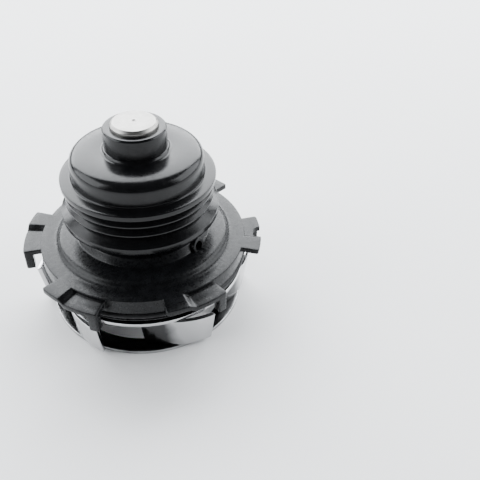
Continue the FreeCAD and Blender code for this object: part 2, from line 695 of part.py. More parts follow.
def make_impeller():
    """Hub, plate, ring and the swept vanes that join plate and ring."""
    turned_part("impeller_hub", [
        ("shaft_radius", "impeller_hub_low"),
        ("impeller_hub_radius", "impeller_hub_low"),
        ("impeller_hub_radius", "plate_low - ring_thick"),
        ("boss_plate_radius", "plate_low - ring_thick"),
        ("boss_plate_radius", "plate_low"),
        ("impeller_hub_radius", "plate_low"),
        ("impeller_hub_radius", "boot_low"),
        ("shaft_radius", "boot_low"),
    ])
    plate = turned_part("impeller_plate", rectangle(
        "impeller_hub_radius", "plate_radius", "plate_low", "plate_high",
    ))
    soften(plate, "Fillet", "edge_round", [(size("plate_radius"), size("plate_high"))])
    ring = turned_part("impeller_ring", rectangle("eye_radius", "ring_radius", "0", "ring_thick"))
    soften(ring, "Fillet", "edge_round", [
        (size("ring_radius"), size("ring_thick")), (size("eye_radius"), size("ring_thick")),
    ])
    low = vane_section(size("ring_thick"), size("vane_tip_low"), size("vane_wrap_low"))
    high = vane_section(size("plate_low"), size("vane_tip_high"), size("vane_wrap_high"))
    blade = Part.makeLoft([low, high], True, True)
    vanes = int(size("vane_count"))
    for number in range(vanes):
        vane = doc.addObject("Part::Feature", f"impeller_vane_{number + 1}")
        vane.Label = f"impeller_vane_{number + 1}"
        vane.Shape = blade
        turn = size("vane_first") + number * 360 / vanes
        vane.Placement = FreeCAD.Placement(FreeCAD.Vector(), FreeCAD.Rotation(turn, 0, 0))
        sub_parts.append(vane)


make_shaft()
make_bearing_ring()
make_bearing_seals()
make_balls()
make_rollers()
make_cages()
make_pulley()
make_pump_body()
make_oring()
make_face_seal()
make_impeller()
doc.recompute()

for item in doc.Objects:
    if {"Invalid", "Error"} & set(item.State):
        raise RuntimeError(f"{item.Label} did not build")
for part in sub_parts:
    if part.Shape.isNull() or not part.Shape.isValid() or not part.Shape.Solids:
        raise RuntimeError(f"{part.Label} has no sound shape")
os.makedirs("parts", exist_ok=True)
for part in sub_parts:
    part.Shape.exportStep(f"parts/{part.Label}.step")
    print(f"{part.Label:22s} solids {len(part.Shape.Solids)}  {part.Shape.Volume:10.1f} mm3")
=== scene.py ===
import json
import math

import bmesh
import bpy
from bpy.props import FloatProperty, FloatVectorProperty, IntProperty, PointerProperty
from mathutils import Matrix, Vector

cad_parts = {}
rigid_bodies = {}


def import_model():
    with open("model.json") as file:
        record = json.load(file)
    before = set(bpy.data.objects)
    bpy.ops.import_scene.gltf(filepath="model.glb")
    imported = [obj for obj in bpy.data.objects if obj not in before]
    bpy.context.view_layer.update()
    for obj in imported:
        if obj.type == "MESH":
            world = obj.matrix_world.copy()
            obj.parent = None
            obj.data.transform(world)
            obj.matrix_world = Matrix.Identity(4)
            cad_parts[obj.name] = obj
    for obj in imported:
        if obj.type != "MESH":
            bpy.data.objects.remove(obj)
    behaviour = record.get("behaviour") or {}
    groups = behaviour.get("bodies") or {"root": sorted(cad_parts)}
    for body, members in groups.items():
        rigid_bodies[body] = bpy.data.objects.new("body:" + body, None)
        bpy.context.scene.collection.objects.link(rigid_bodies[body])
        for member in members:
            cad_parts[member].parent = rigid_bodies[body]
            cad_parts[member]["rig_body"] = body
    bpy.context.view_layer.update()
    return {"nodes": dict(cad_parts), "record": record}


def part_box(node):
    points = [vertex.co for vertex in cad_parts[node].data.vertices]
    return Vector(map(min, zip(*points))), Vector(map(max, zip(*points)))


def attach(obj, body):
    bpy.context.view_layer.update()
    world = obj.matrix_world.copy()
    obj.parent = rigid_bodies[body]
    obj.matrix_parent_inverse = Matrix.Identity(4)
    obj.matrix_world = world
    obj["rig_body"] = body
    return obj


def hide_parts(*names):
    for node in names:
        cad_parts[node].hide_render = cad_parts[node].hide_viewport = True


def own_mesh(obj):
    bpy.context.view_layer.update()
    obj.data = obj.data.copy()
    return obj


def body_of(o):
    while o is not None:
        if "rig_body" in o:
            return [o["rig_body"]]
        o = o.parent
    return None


bl_info = {
    "name": "Cartridge Water Pump",
    "version": (1, 0, 0),
    "blender": (4, 5, 0),
    "location": "View3D > Sidebar > Water Pump",
    "description": "Pieces, finishes and studio of a cartridge water pump with a ribbed pulley",
    "category": "Add Mesh",
}

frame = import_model()

MM = 0.001
SEGMENTS = 240
NEAR = 0.06


def span(node):
    """Outer radius, bottom and top of a CAD node, in millimetres."""
    low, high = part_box(node)
    return high.x / MM, low.z / MM, high.z / MM


def mount_radius(name):
    """Radius in millimetres that the record gives for a mount."""
    mounts = frame["record"]["mounts"]
    return next(mount["dims"]["r_mm"] for mount in mounts if mount["name"] == name)


def length(name, description, default):
    """A length property, given in millimetres."""
    return FloatProperty(name=name, description=description, default=default * MM, unit="LENGTH", precision=5)


def colour(name, description, default):
    """A colour property in linear light."""
    return FloatVectorProperty(
        name=name, description=description, default=default, subtype="COLOR", size=3, min=0, max=1)


class PumpSizes(bpy.types.PropertyGroup):
    """Sizes of the details that the frame does not give"""

    edge: length("Edge rounding", "Rounding of turned and pressed edges", 0.16)
    cast_edge: length("Casting edge", "Rounding of the edges of the casting", 0.5)
    hub_bevel: length("Hub bevel", "Bevel at the top of the pulley hub", 0.5)
    weld: length("Weld bead", "Width of the bead at the foot of the hub", 1.5)
    cup: length("Cup radius", "Outside radius of the pulley cup", 22.8)
    cup_wall: length("Cup wall", "Sheet thickness of the pulley", 1.8)
    shoulder: length("Shoulder", "Outer rounding of the cup shoulder", 3.3)
    flange: length("Upper flange", "Radius of the upper belt flange", 26.8)
    rib: length("Rib radius", "Radius at the top of the belt ribs", 26.0)
    valley: length("Groove radius", "Radius at the bottom of the belt grooves", 23.8)
    skirt: length("Skirt radius", "Radius of the pilot skirt", 37.4)
    lug_drop: length("Lug ramp", "Height that each bayonet lug drops", 1.4)
    lug_thick: length("Lug thickness", "Thickness of the bayonet lugs", 2.0)
    weep: length("Weep hole", "Radius of the weep hole", 1.8)
    flash: length("Mould line", "How far the O-ring's mould line stands out", 0.07)


class PumpFinishes(bpy.types.PropertyGroup):
    """Base colours of the pump's finishes"""

    pulley_paint: colour("Pulley paint", "Black paint on the pulley and hub", (0.0035, 0.0036, 0.004))
    cast_paint: colour("Casting paint", "Black paint on the casting", (0.004, 0.0042, 0.0047))
    shaft_steel: colour("Shaft steel", "Ground steel of the shaft", (0.3, 0.293, 0.28))
    impeller_steel: colour("Impeller steel", "Bright sheet steel of the impeller", (0.56, 0.56, 0.565))
    rubber: colour("Rubber", "Black rubber of the rings and seals", (0.009, 0.009, 0.0095))
    brass: colour("Brass", "Pressed brass of the face seal", (0.68, 0.47, 0.19))


class PumpStage(bpy.types.PropertyGroup):
    """Camera and light"""

    lens: FloatProperty(name="Lens", description="Focal length in millimetres", default=45.7, unit="CAMERA")
    camera_place: FloatVectorProperty(
        name="Camera", description="Where the camera stands", size=3,
        default=(0.0, -0.18075, 0.17018), subtype="TRANSLATION", unit="LENGTH")
    camera_turn: FloatVectorProperty(
        name="Aim", description="Yaw to the right, pitch down and roll of the camera", size=3,
        default=(math.radians(11.4447), math.radians(39.4708), math.radians(1.8455)), subtype="EULER")
    back_light: FloatProperty(name="Back light", description="Power of the softbox behind", default=54.0, min=0)
    side_light: FloatProperty(
        name="Side lights", description="Power of each softbox beside", default=14.0, min=0)
    room: FloatProperty(name="Room", description="Light from the rest of the studio", default=0.05, min=0)
    floor_size: length("Floor", "Width of the studio floor", 6000.0)


# ---------------------------------------------------------------- modelling helpers


def clear_selection():
    """Nothing selected and nothing active."""
    for item in bpy.context.view_layer.objects:
        item.select_set(False)
    bpy.context.view_layer.objects.active = None


def named(piece, name):
    """Gives a piece and its mesh their name."""
    piece.name = name
    piece.data.name = name
    return piece


def arc(centre_radius, centre_height, radius, start, end, steps):
    """(radius, height) points along an arc; angles in degrees from the outward direction."""
    points = []
    for step in range(steps + 1):
        angle = math.radians(start + (end - start) * step / steps)
        points.append((centre_radius + radius * math.cos(angle), centre_height + radius * math.sin(angle)))
    return points


def turn_rings(name, profile, closed=True):
    """Turned shape: a circle extruded ring by ring through (radius, height) points, in millimetres.

    A closed profile is bridged back to its first ring. An open one gets a face at each end.
    """
    clear_selection()
    radius, height = profile[0]
    bpy.ops.mesh.primitive_circle_add(vertices=SEGMENTS, radius=radius * MM, location=(0, 0, height * MM))
    piece = named(bpy.context.object, name)
    bpy.ops.object.transform_apply(location=True, rotation=True, scale=True)
    bpy.ops.object.mode_set(mode="EDIT")
    bpy.ops.mesh.select_mode(type="EDGE")
    bpy.ops.mesh.select_all(action="SELECT")
    for next_radius, next_height in profile[1:]:
        rise = (0, 0, (next_height - height) * MM)
        bpy.ops.mesh.extrude_region_move(TRANSFORM_OT_translate={"value": rise})
        ratio = next_radius / radius
        bpy.ops.transform.resize(value=(ratio, ratio, 1), center_override=(0, 0, next_height * MM))
        radius, height = next_radius, next_height
    bpy.ops.mesh.select_all(action="DESELECT")
    bpy.ops.mesh.select_non_manifold(
        extend=False, use_wire=False, use_boundary=True, use_multi_face=False,
        use_non_contiguous=False, use_verts=False)
    if closed:
        bpy.ops.mesh.bridge_edge_loops()
    else:
        bpy.ops.mesh.fill_holes(sides=0)
    bpy.ops.mesh.select_all(action="SELECT")
    bpy.ops.mesh.normals_make_consistent(inside=False)
    bpy.ops.object.mode_set(mode="OBJECT")
    return piece


def apply_modifier(piece, kind, **settings):
    """Adds a modifier with its settings and applies it."""
    modifier = piece.modifiers.new(kind.title(), kind)
    for key, value in settings.items():
        setattr(modifier, key, value)
    bpy.context.view_layer.objects.active = piece
    bpy.ops.object.modifier_apply(modifier=modifier.name)


def round_edges(piece, width, angle=32):
    """Rounds every edge sharper than the angle and smooths the faces between."""
    apply_modifier(
        piece, "BEVEL", width=width, segments=3, limit_method="ANGLE",
        angle_limit=math.radians(angle), use_clamp_overlap=True)
    clear_selection()
    piece.select_set(True)
    bpy.context.view_layer.objects.active = piece
    bpy.ops.object.shade_smooth_by_angle(angle=math.radians(40))
    return piece


def edit_only(piece, mode):
    """Edit mode on one piece with nothing selected."""
    clear_selection()
    piece.select_set(True)
    bpy.context.view_layer.objects.active = piece
    bpy.ops.object.mode_set(mode="EDIT")
    bpy.ops.mesh.select_mode(type=mode)
    bpy.ops.mesh.select_all(action="DESELECT")


def pick(kind, wanted):
    """Selects the vertices, edges or faces of the edited mesh that the test wants."""
    bpy.ops.mesh.select_all(action="DESELECT")
    bpy.ops.mesh.select_mode(type=kind)
    mesh = bmesh.from_edit_mesh(bpy.context.object.data)
    parts = {"VERT": mesh.verts, "EDGE": mesh.edges, "FACE": mesh.faces}[kind]
    for part in parts:
        if wanted(part):
            part.select_set(True)
    mesh.select_flush_mode()
    bmesh.update_edit_mesh(bpy.context.object.data)


def polar(point):
    """Radius, direction in degrees from 0 to 360, and height of a point, lengths in millimetres."""
    direction = math.degrees(math.atan2(point.y, point.x)) % 360
    return math.hypot(point.x, point.y) / MM, direction, point.z / MM


def copy_of_node(node, name):
    """Merged copy of a CAD node as a new piece with flat faces made whole."""
    clear_selection()
    piece = frame["nodes"][node].copy()
    piece.data = piece.data.copy()
    bpy.context.scene.collection.objects.link(piece)
    for key in list(piece.keys()):
        del piece[key]
    piece.parent = None
    named(piece, name)
    edit_only(piece, "FACE")
    bpy.ops.mesh.customdata_custom_splitnormals_clear()
    bpy.ops.mesh.select_all(action="SELECT")
    bpy.ops.mesh.remove_doubles(threshold=0.002 * MM)
    bpy.ops.mesh.dissolve_limited(angle_limit=math.radians(0.8))
    bpy.ops.object.mode_set(mode="OBJECT")
    return piece


def settle(piece, finish, body, slot, *nodes):
    """Gives a finished piece its finish and its body and hides the CAD nodes it stands for. The slot is not
    used.
    """
    piece.data.materials.clear()
    piece.data.materials.append(finish)
    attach(piece, body)
    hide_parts(*nodes)


# ---------------------------------------------------------------- finishes


class Finish:
    """Small helper that builds one procedural material on object coordinates."""

    def __init__(self, name, base, metallic=0.0, roughness=0.5, specular=0.5):
        self.material = bpy.data.materials.new(name)
        self.material.use_nodes = True
        self.tree = self.material.node_tree
        self.shader = self.tree.nodes["Principled BSDF"]
        self.shader.inputs["Base Color"].default_value = (*base, 1)
        self.shader.inputs["Metallic"].default_value = metallic
        self.shader.inputs["Roughness"].default_value = roughness
        self.shader.inputs["Specular IOR Level"].default_value = specular
        self.place = self.tree.nodes.new("ShaderNodeTexCoord").outputs["Object"]

    def add(self, kind, **inputs):
        """A node with its input values or links."""
        node = self.tree.nodes.new("ShaderNode" + kind)
        for key, value in inputs.items():
            if key == "operation":
                node.operation = value
                continue
            socket = node.inputs[int(key[1:])] if key[0] == "i" and key[1:].isdigit() else node.inputs[key]
            if isinstance(value, bpy.types.NodeSocket):
                self.tree.links.new(value, socket)
            else:
                socket.default_value = value
        return node

    def noise(self, per_mm, detail=3.0, vector=None, distortion=0.0):
        """Grey noise with about this many lumps to the millimetre."""
        node = self.add(
            "TexNoise", Vector=vector or self.place, Scale=per_mm / MM, Detail=detail, Distortion=distortion)
        return node.outputs["Fac"]

    def spread(self, value, low, high, start=0.3, end=0.7):
        """Maps a grey value between two numbers."""
        node = self.add("MapRange", Value=value)
        for key, number in (("From Min", start), ("From Max", end), ("To Min", low), ("To Max", high)):
            node.inputs[key].default_value = number
        return node.outputs["Result"]

    def tint(self, value, first, second):
        """Base colour that runs between two colours."""
        ramp = self.add("ValToRGB", Fac=value)
        ramp.color_ramp.elements[0].position = 0.3
        ramp.color_ramp.elements[1].position = 0.7
        ramp.color_ramp.elements[0].color = (*first, 1)
        ramp.color_ramp.elements[1].color = (*second, 1)
        self.tree.links.new(ramp.outputs["Color"], self.shader.inputs["Base Color"])

    def rough(self, value):
        """Roughness from a value."""
        self.tree.links.new(value, self.shader.inputs["Roughness"])

    def bump(self, *layers):
        """Stacked bumps, each a (height, depth in millimetres) pair."""
        normal = None
        for height, depth in layers:
            node = self.add("Bump", Height=height, Strength=1.0, Distance=depth * MM)
            if normal:
                self.tree.links.new(normal, node.inputs["Normal"])
            normal = node.outputs["Normal"]
        self.tree.links.new(normal, self.shader.inputs["Normal"])

    def rings(self, per_mm, detail=2.0):
        """Noise that changes only with radius and height, as left by turning or grinding."""
        flat = self.add("VectorMath", operation="MULTIPLY", i0=self.place, i1=(1, 1, 0))
        radius = self.add("VectorMath", operation="LENGTH", i0=flat.outputs[0])
        parts = self.add("SeparateXYZ", Vector=self.place)
        line = self.add("CombineXYZ", X=radius.outputs["Value"], Y=parts.outputs["Z"])
        return self.noise(per_mm, detail, line.outputs["Vector"])


def scaled(base, factor):
    """A colour made lighter or darker."""
    return tuple(min(1.0, part * factor) for part in base)


def pulley_paint(base):
    """Semi-gloss black paint over turned and pressed steel."""
    finish = Finish("Pulley paint", base, specular=0.22)
    finish.tint(finish.noise(0.25), scaled(base, 0.8), scaled(base, 1.5))
    finish.rough(finish.spread(finish.noise(0.6, 4.0), 0.16, 0.27))
    finish.bump((finish.noise(2.2, 2.0), 0.006), (finish.rings(2.5), 0.004))
    return finish.material


def cast_paint(base):
    """Satin black paint over the fine lumps of a casting."""
    finish = Finish("Casting paint", base, specular=0.2)
    finish.tint(finish.noise(0.3), scaled(base, 0.7), scaled(base, 1.7))
    finish.rough(finish.spread(finish.noise(0.9, 4.0), 0.22, 0.38))
    pits = finish.add("TexVoronoi", Vector=finish.place, Scale=1.1 / MM, Randomness=1.0)
    finish.bump(
        (finish.noise(0.28, 3.0), 0.04), (pits.outputs["Distance"], 0.008), (finish.noise(3.0, 3.0), 0.006))
    return finish.material


def ground_steel(base):
    """Ground shaft steel with fine marks round the axis and a few scratches."""
    finish = Finish("Ground steel", base, 1.0)
    finish.tint(finish.noise(0.35), scaled(base, 0.86), scaled(base, 1.08))
    finish.rough(finish.spread(finish.rings(1.4), 0.3, 0.44))
    finish.bump((finish.rings(3.2), 0.004), (finish.noise(1.2, 4.0, distortion=1.5), 0.004))
    return finish.material


def sheet_steel(base):
    """Rolled sheet of the impeller: a painted dark reflection inside, the steel's own colour in a ragged band
    at the edge.
    """
    finish = Finish("Impeller steel", base, 1.0)
    flat = finish.add("VectorMath", operation="MULTIPLY", i0=finish.place, i1=(1, 1, 0))
    radius = finish.add("VectorMath", operation="LENGTH", i0=flat.outputs[0]).outputs["Value"]
    # Painted dark reflection: the steel is darkened to 0.14 of its colour inside about 36.4 mm and fades to its
    # own colour by 37.9 mm, with a ragged noise edge.
    painted_dark_reflection_edge, bright_edge, raggedness = 36.4 * MM, 37.9 * MM, 2.4 * MM
    ragged = finish.add(
        "Math", operation="MULTIPLY_ADD", i0=finish.noise(0.12, 4.0), i1=raggedness, i2=radius)
    painted_reflection_fade = finish.spread(ragged.outputs["Value"], 0.3, 0.7, painted_dark_reflection_edge, bright_edge)
    finish.tint(painted_reflection_fade, scaled(base, 0.14), base)
    finish.rough(finish.spread(finish.noise(0.4, 4.0), 0.12, 0.26))
    finish.bump((finish.noise(0.25, 2.0), 0.012), (finish.rings(2.4), 0.003))
    return finish.material


def rubber(base):
    """Moulded black rubber."""
    finish = Finish("Rubber", base, specular=0.2)
    finish.tint(finish.noise(0.4), scaled(base, 0.8), scaled(base, 1.5))
    finish.rough(finish.spread(finish.noise(1.5), 0.36, 0.52))
    finish.bump((finish.noise(4.0, 3.0), 0.006),)
    return finish.material


def bearing_steel():
    """Polished balls, rollers and races."""
    finish = Finish("Bearing steel", (0.72, 0.72, 0.73), 1.0)
    finish.rough(finish.spread(finish.noise(1.0), 0.07, 0.16))
    finish.bump((finish.noise(5.0), 0.001),)
    return finish.material


def nylon():
    """Natural nylon of the bearing cages."""
    base = (0.62, 0.55, 0.4)
    finish = Finish("Cage nylon", base, 0.0)
    finish.tint(finish.noise(0.5), scaled(base, 0.9), scaled(base, 1.1))
    finish.rough(finish.spread(finish.noise(2.0), 0.35, 0.5))
    finish.shader.inputs["Subsurface Weight"].default_value = 0.1
    return finish.material


def pressed_brass(base):
    """Pressed brass sheet with draw marks."""
    finish = Finish("Pressed brass", base, 1.0)
    finish.tint(finish.noise(0.6), scaled(base, 0.85), scaled(base, 1.1))
    finish.rough(finish.spread(finish.noise(0.8), 0.24, 0.4))
    finish.bump((finish.rings(2.0), 0.004),)
    return finish.material


def lapped(name, base, low, high):
    """Lapped face-seal ring: smooth, with a very fine grain."""
    finish = Finish(name, base)
    finish.tint(finish.noise(3.0), scaled(base, 0.9), scaled(base, 1.08))
    finish.rough(finish.spread(finish.noise(2.0), low, high))
    finish.bump((finish.noise(8.0), 0.002),)
    return finish.material


def drawn_wire(name, base):
    """Drawn or plated steel of the small seal parts."""
    finish = Finish(name, base, 1.0)
    finish.tint(finish.noise(0.8), scaled(base, 0.85), scaled(base, 1.1))
    finish.rough(finish.spread(finish.noise(1.5), 0.22, 0.38))
    finish.bump((finish.noise(3.0), 0.003),)
    return finish.material


# ---------------------------------------------------------------- pieces


class WATERPUMP_OT_shaft(bpy.types.Operator):
    """Ground shaft with bevelled ends, a centre mark and the ball groove"""

    bl_idname = "water_pump.shaft"
    bl_label = "Shaft"

    def execute(self, context):
        look = context.scene.pump_finishes
        radius, low, high = span("pump_shaft")
        bevel = 0.85
        pitch_radius, race_radius = 10.15, 2.75
        ball_height = (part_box("bearing_ball_1")[0].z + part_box("bearing_ball_1")[1].z) / 2 / MM
        groove = arc(pitch_radius, ball_height, race_radius, 216.87, 143.13, 8)
        profile = [(0.35, low + 0.3), (0.9, low), (radius - bevel, low), (radius, low + bevel)]
        profile += groove
        profile += [(radius, high - bevel), (radius - bevel, high), (0.9, high), (0.35, high - 0.3)]
        shaft = round_edges(turn_rings("ground_shaft", profile, closed=False), 0.12 * MM, angle=25)
        settle(shaft, ground_steel(look.shaft_steel), "rotor", "ground_steel", "pump_shaft")
        return {"FINISHED"}


class WATERPUMP_OT_pulley(bpy.types.Operator):
    """Pulley hub, its weld bead and the drawn pulley with its belt track"""

    bl_idname = "water_pump.pulley"
    bl_label = "Pulley"

    def execute(self, context):
        size = context.scene.pump_sizes
        look = context.scene.pump_finishes
        paint = pulley_paint(look.pulley_paint)
        shaft_radius = span("pump_shaft")[0]
        hub_radius = mount_radius("hub_nose")
        flange_radius, hub_low, hub_high = span("pulley_hub")
        face = span("pulley_shell")[2]
        wall = size.cup_wall / MM
        hub = turn_rings("pulley_hub_nose", [
            (shaft_radius, hub_low), (flange_radius, hub_low), (flange_radius, face - wall),
            (hub_radius, face - wall), (hub_radius, hub_high - size.hub_bevel / MM),
            (hub_radius - size.hub_bevel / MM, hub_high), (shaft_radius, hub_high),
        ])
        settle(round_edges(hub, size.edge), paint, "rotor", "hub_black", "pulley_hub")

        bead_width = size.weld / MM
        bead_centre = hub_radius + bead_width
        bead = turn_rings("hub_weld_bead", [
            (hub_radius - 0.3, face - 0.1), *arc(bead_centre, face + 1.3, 1.3, 270, 200, 6),
            (hub_radius - 0.3, face + 1.1),
        ])
        settle(round_edges(bead, 0.1 * MM), paint, "rotor", "hub_black", "hub_weld")
        shell = turn_rings("belt_pulley", self.shell_profile(size, hub_radius))
        settle(round_edges(shell, size.edge, angle=24), paint, "rotor", "pulley_black", "pulley_shell")
        return {"FINISHED"}

    @staticmethod
    def shell_profile(size, hub_radius):
        """Section of the pulley from the hub hole round the cup and belt track and back."""
        outer, low, face = span("pulley_shell")
        wall, cup, shoulder = size.cup_wall / MM, size.cup / MM, size.shoulder / MM
        flange, rib, valley = size.flange / MM, size.rib / MM, size.valley / MM
        inside, inner_round, foot = cup - wall, shoulder - wall, 0.9
        flange_high, flange_low = 54.0, 52.0
        half_pitch, rib_half, valley_half = 1.78, 0.32, 0.34
        lower_rib, upper_rib = 45.37, 48.93
        crown, crown_middle, shoulder_drop = 24.9, 15.0, 0.47
        profile = [(hub_radius, face - wall)]
        profile += arc(inside - inner_round, face - wall - inner_round, inner_round, 90, 0, 6)
        profile += [(inside, low), (outer, low), (outer, low + 2.3)]
        profile += [(valley, lower_rib - half_pitch - valley_half)]
        for height in (lower_rib, upper_rib):
            profile += [
                (valley, height - half_pitch + valley_half), (rib, height - rib_half),
                (rib, height + rib_half), (valley, height + half_pitch - valley_half),
            ]
        profile += [(valley, upper_rib + half_pitch + valley_half), (flange, flange_low)]
        profile += [(flange, flange_high - 0.2), (flange - 0.9, flange_high)]
        profile += arc(cup + foot, flange_high + foot, foot, 270, 180, 5)
        profile += arc(cup - shoulder, face - shoulder - shoulder_drop, shoulder, 0, 78, 11)
        profile += arc(crown_middle, face - crown, crown, 79.5, 90, 7)
        return profile + [(hub_radius, face)]


class WATERPUMP_OT_casting(bpy.types.Operator):
    """Cast body: skirt, rim, six bayonet lugs, plateau, bearing boss, neck and weep hole"""

    bl_idname = "water_pump.casting"
    bl_label = "Casting"

    lugs = 6
    lug_start, lug_level, lug_ramp, lug_hold, tang = 36.0, 10.5, 3.0, 16.5, 4.5
    rim, tang_low, tang_inner = 27.4, 18.0, 40.6
    plate_gap, seal_sheet = 1.5, 0.6
    notch_turn, notch_out, notch_radius = -7.5, 43.8, 3.4
    weep_turn, weep_fall, weep_out, weep_height = -42, 12, 24.9, 31.5
    collar_wall, collar_depth, drill_depth, drill_spare = 1.1, 5.0, 11.5, 4.0

    def execute(self, context):
        size = context.scene.pump_sizes
        look = context.scene.pump_finishes
        body = turn_rings("cast_body", self.profile(size))
        self.raise_lug_roots(body, size)
        self.extrude_lugs(body, size)
        self.hang_tangs(body)
        self.round_corners(body)
        round_edges(body, size.cast_edge, angle=28)
        self.cut_notch(body)
        self.drill_weep_hole(body, size)
        settle(body, cast_paint(look.cast_paint), "housing", "cast_black", "pump_body")
        return {"FINISHED"}

    def profile(self, size):
        """Section of the casting, from the mouth of the seal bore out and over the top."""
        neck_high = span("pump_body")[2]
        low = span("impeller_plate")[2] + self.plate_gap
        skirt = size.skirt / MM
        lug_top = self.rim - size.lug_drop / MM
        lug_bottom = lug_top - size.lug_thick / MM
        bearing, bearing_low, _ = span("bearing_outer_ring")
        cup_flange, cup_low, cup_high = span("seal_cup")
        seal_bore, mouth, drain = 18.2, cup_flange + 0.2, 13.5
        neck, boss, plateau = 18.5, 22.8, 29.5
        groove, groove_low, groove_high, lead_in = 35.6, 19.0, 21.6, 0.6
        profile = [(mouth, low), (skirt - lead_in, low), (skirt, low + lead_in), (skirt, groove_low)]
        profile += [(groove, groove_low), (groove, groove_high), (skirt, groove_high)]
        profile += [(skirt, lug_bottom), (skirt, lug_top), (skirt, self.rim)]
        profile += [(33.6, self.rim)]
        profile += arc(33.0, 29.8, 2.4, 265, 205, 6)
        profile += [(30.2, 29.35), (plateau - 0.2, 29.6), (plateau - 1.6, 29.75)]
        profile += arc(24.6, 31.1, 0.9, 270, 215, 4)
        profile += [(boss, 33.2), (boss - 2.0, 33.9)]
        profile += arc(neck + 1.2, 36.0, 1.2, 260, 180, 5)
        profile += [(neck, neck_high), (bearing, neck_high), (bearing, bearing_low), (drain, bearing_low)]
        mouth_high = cup_low + self.seal_sheet
        profile += [(drain, cup_high), (seal_bore, cup_high)]
        return profile + [(seal_bore, mouth_high), (mouth, mouth_high)]

    def along_lug(self, direction):
        """How far, in degrees, a direction is past the start of its lug."""
        return (direction - self.lug_start + 0.01) % (360 / self.lugs)

    def lift_at(self, along):
        """Share of the ramp still to go at this place along a lug."""
        return min(1.0, max(0.0, (self.lug_level + self.lug_ramp - along) / self.lug_ramp))

    def raise_lug_roots(self, body, size):
        """Lifts the two wall rings that bound the lugs where a lug is level with the rim, and merges them."""
        edit_only(body, "VERT")
        drop = size.lug_drop / MM
        whole = self.lug_level + self.lug_ramp + self.lug_hold
        rings = (self.rim - drop, self.rim - drop - size.lug_thick / MM)
        for share in (0.5, 1.0):

            def wanted(vertex):
                radius, direction, height = polar(vertex.co)
                along = self.along_lug(direction)
                on_ring = any(abs(height - ring) < NEAR for ring in rings)
                return (
                    abs(radius - size.skirt / MM) < NEAR and on_ring and along < whole + 0.1
                    and abs(self.lift_at(along) - share) < 0.1)

            pick("VERT", wanted)
            bpy.ops.transform.translate(value=(0, 0, share * drop * MM))
        bpy.ops.mesh.select_all(action="SELECT")
        bpy.ops.mesh.remove_doubles(threshold=0.01 * MM)
        bpy.ops.object.mode_set(mode="OBJECT")

    def extrude_lugs(self, body, size):
        """Extrudes the wall between those rings out to the lug radius."""
        edit_only(body, "FACE")
        drop, thick = size.lug_drop / MM, size.lug_thick / MM
        whole = self.lug_level + self.lug_ramp + self.lug_hold

        def wanted(face):
            radius, direction, height = polar(face.calc_center_median())
            along = self.along_lug(direction)
            middle = self.rim - drop - thick / 2 + drop * self.lift_at(along)
            return abs(radius - size.skirt / MM) < NEAR and along < whole and abs(height - middle) < 0.36

        pick("FACE", wanted)
        radius = size.skirt / MM
        for reach in (self.tang_inner, span("pump_body")[0]):
            bpy.ops.mesh.extrude_region_move()
            bpy.ops.transform.resize(value=(reach / radius, reach / radius, 1), center_override=(0, 0, 0))
            radius = reach
        bpy.ops.object.mode_set(mode="OBJECT")

    def hang_tangs(self, body):
        """Extrudes the tang down from the end of each lug."""
        edit_only(body, "FACE")
        whole = self.lug_level + self.lug_ramp + self.lug_hold

        def wanted(face):
            radius, direction, _ = polar(face.calc_center_median())
            along = self.along_lug(direction)
            return face.normal.z < -0.9 and radius > self.tang_inner and whole - self.tang < along < whole

        pick("FACE", wanted)
        mesh = bmesh.from_edit_mesh(body.data)
        bottom = min(vertex.co.z for vertex in mesh.verts if vertex.select) / MM
        drop = (0, 0, (self.tang_low - bottom) * MM)
        bpy.ops.mesh.extrude_region_move(TRANSFORM_OT_translate={"value": drop})
        bpy.ops.object.mode_set(mode="OBJECT")

    def round_corners(self, body):
        """Rounds the upright edges at the outer corners of the lugs."""
        edit_only(body, "EDGE")
        outer = span("pump_body")[0]
        whole = self.lug_level + self.lug_ramp + self.lug_hold

        def wanted(edge):
            first, last = (polar(vertex.co) for vertex in edge.verts)
            along = self.along_lug(first[1])
            at_corner = min(along, abs(along - whole)) < 0.1
            upright = abs(first[1] - last[1]) < 0.05 and abs(first[2] - last[2]) > 0.2
            return min(first[0], last[0]) > outer - NEAR and upright and at_corner

        pick("EDGE", wanted)
        bpy.ops.mesh.bevel(offset=0.8 * MM, segments=4, affect="EDGES")
        bpy.ops.object.mode_set(mode="OBJECT")

    def cut_notch(self, body):
        """Round notch through the low part of one lug."""
        direction = math.radians(self.notch_turn)
        out = self.notch_out
        low, high = self.tang_low - 1, self.rim + 2
        clear_selection()
        bpy.ops.mesh.primitive_cylinder_add(
            vertices=64, radius=self.notch_radius * MM, depth=(high - low) * MM,
            location=Vector((out * math.cos(direction), out * math.sin(direction), (low + high) / 2)) * MM)
        tool = bpy.context.object
        apply_modifier(body, "BOOLEAN", object=tool, operation="DIFFERENCE", solver="EXACT")
        bpy.data.objects.remove(tool)

